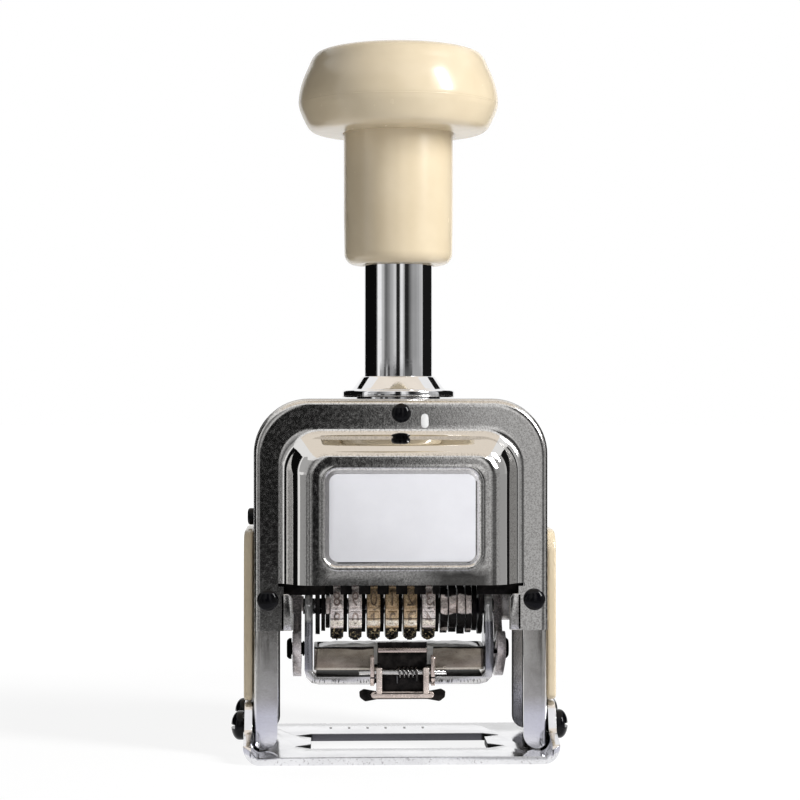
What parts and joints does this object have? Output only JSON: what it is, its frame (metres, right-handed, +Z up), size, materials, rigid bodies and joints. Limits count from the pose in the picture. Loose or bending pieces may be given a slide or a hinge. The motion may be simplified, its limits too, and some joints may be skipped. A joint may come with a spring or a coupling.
{
  "type": "numbering machine",
  "caption": "Hand numbering machine: pressing the sprung knob lowers type wheels to the paper while the ink pad swings out of the way.",
  "frame": {"origin": "on the standing surface, under the plunger axis", "axes": "+Z up along the plunger, +X to the right seen from the label side, +Y to the rear"},
  "size_m": [0.0742, 0.05, 0.1587],
  "materials": {
    "nickel": "satin nickel plate, fine scratches",
    "mirror_chrome": "mirror chrome",
    "bright_steel": "bright turned steel",
    "black_steel": "black oxide, oiled",
    "cream_plastic": "gloss moulded cream plastic",
    "type_metal": "warm cast type metal",
    "tray_metal": "bronzed polished sheet",
    "felt": "dry white felt",
    "label_grey": "light grey lacquered plate"
  },
  "bodies": {
    "frame": {"base_plate": "bright_steel", "base_screw_front_left": "black_steel", "base_screw_rear_left": "black_steel", "base_screw_front_right": "black_steel", "base_screw_rear_right": "black_steel", "frame_yoke": "nickel", "front_cover": "nickel", "rear_cover": "nickel", "label_plate": "label_grey", "front_cover_screw_left": "black_steel", "front_cover_screw_right": "black_steel", "front_cover_screw_top": "black_steel", "rear_cover_screw_left": "black_steel", "rear_cover_screw_right": "black_steel", "rear_cover_screw_top": "black_steel", "side_panel_left": "cream_plastic", "side_panel_right": "cream_plastic", "collar": "mirror_chrome", "collar_nut": "bright_steel", "cross_pin": "bright_steel", "return_spring": "bright_steel", "link_pivot_left": "type_metal", "link_pivot_right": "type_metal"},
    "lock_button": {"lock_button": "black_steel"},
    "plunger": {"handle_knob": "cream_plastic", "grip_sleeve": "cream_plastic", "plunger_tube": "mirror_chrome", "handle_stud": "bright_steel", "wheel_frame": "black_steel", "wheel_shaft": "bright_steel", "spacer_rod": "bright_steel", "detent_rod": "bright_steel", "detent_comb": "black_steel"},
    "wheel_1": {"number_wheel_1": "type_metal"},
    "wheel_2": {"number_wheel_2": "type_metal"},
    "wheel_3": {"number_wheel_3": "type_metal"},
    "wheel_4": {"number_wheel_4": "type_metal"},
    "wheel_5": {"number_wheel_5": "type_metal"},
    "wheel_6": {"number_wheel_6": "type_metal"},
    "feed_rocker": {"feed_rocker": "black_steel", "feed_pawls": "bright_steel"},
    "repeat_drum": {"repeat_ratchet": "black_steel", "repeat_cam": "black_steel", "drop_cam": "black_steel"},
    "selector": {"repeat_selector": "bright_steel"},
    "pad_carriage": {"pad_bracket": "nickel", "pad_tray": "tray_metal", "felt_pad": "felt", "clip_pin": "bright_steel", "clip_spring": "bright_steel", "pad_rivet_left": "nickel", "pad_rivet_right": "nickel"},
    "clip_lever": {"clip_lever": "black_steel"},
    "link_left": {"pad_link_left": "nickel"},
    "link_right": {"pad_link_right": "nickel"}
  },
  "joints": [
    {"name": "plunger_slide", "type": "slide", "parent": "frame", "child": "plunger", "axis": [0, 0, -1], "range_m": [0, 0.0243], "stiffness_N_per_m": 600, "springref_m": -0.012, "deforming": ["return_spring"]},
    {"name": "pad_swing", "type": "hinge", "parent": "plunger", "child": "pad_carriage", "pos_m": [0, 0, 0.0318], "axis": [1, 0, 0], "range_deg": [0, 112]},
    {"name": "link_turn_left", "type": "hinge", "parent": "frame", "child": "link_left", "pos_m": [-0.0225, 0.0112, 0.03135], "axis": [1, 0, 0], "range_deg": [0, 50]},
    {"name": "link_turn_right", "type": "hinge", "parent": "frame", "child": "link_right", "pos_m": [0.0225, 0.0112, 0.03135], "axis": [1, 0, 0], "range_deg": [0, 50]},
    {"name": "feed_turn", "type": "hinge", "parent": "plunger", "child": "feed_rocker", "pos_m": [0, 0, 0.0318], "axis": [1, 0, 0], "range_deg": [0, 36]},
    {"name": "wheel_turn_1", "type": "hinge", "parent": "plunger", "child": "wheel_1", "pos_m": [-0.0139, 0, 0.0318], "axis": [1, 0, 0], "continuous": true},
    {"name": "wheel_turn_2", "type": "hinge", "parent": "plunger", "child": "wheel_2", "pos_m": [-0.0098, 0, 0.0318], "axis": [1, 0, 0], "continuous": true},
    {"name": "wheel_turn_3", "type": "hinge", "parent": "plunger", "child": "wheel_3", "pos_m": [-0.0057, 0, 0.0318], "axis": [1, 0, 0], "continuous": true},
    {"name": "wheel_turn_4", "type": "hinge", "parent": "plunger", "child": "wheel_4", "pos_m": [-0.0016, 0, 0.0318], "axis": [1, 0, 0], "continuous": true},
    {"name": "wheel_turn_5", "type": "hinge", "parent": "plunger", "child": "wheel_5", "pos_m": [0.0025, 0, 0.0318], "axis": [1, 0, 0], "continuous": true},
    {"name": "wheel_turn_6", "type": "hinge", "parent": "plunger", "child": "wheel_6", "pos_m": [0.0066, 0, 0.0318], "axis": [1, 0, 0], "continuous": true},
    {"name": "repeat_turn", "type": "hinge", "parent": "plunger", "child": "repeat_drum", "pos_m": [0.012, 0, 0.0318], "axis": [1, 0, 0], "continuous": true},
    {"name": "selector_turn", "type": "hinge", "parent": "plunger", "child": "selector", "pos_m": [0.0156, 0, 0.0318], "axis": [1, 0, 0], "range_deg": [0, 50]},
    {"name": "clip_press", "type": "hinge", "parent": "pad_carriage", "child": "clip_lever", "pos_m": [0.00065, -0.0082, 0.0179], "axis": [1, 0, 0], "range_deg": [0, 15], "stiffness_Nm_per_rad": 0.02, "springref_deg": -17.19},
    {"name": "lock_press", "type": "slide", "parent": "frame", "child": "lock_button", "axis": [1, 0, 0], "range_m": [0, 0.0015], "stiffness_N_per_m": 400, "springref_m": -0.002}
  ],
  "couplings": [
    {"joint": "pad_swing", "follows": "plunger_slide", "rad_per_m": 80.443},
    {"joint": "link_turn_left", "follows": "plunger_slide", "rad_per_m": 35.912},
    {"joint": "link_turn_right", "follows": "plunger_slide", "rad_per_m": 35.912},
    {"joint": "feed_turn", "follows": "plunger_slide", "rad_per_m": 25.856}
  ]
}
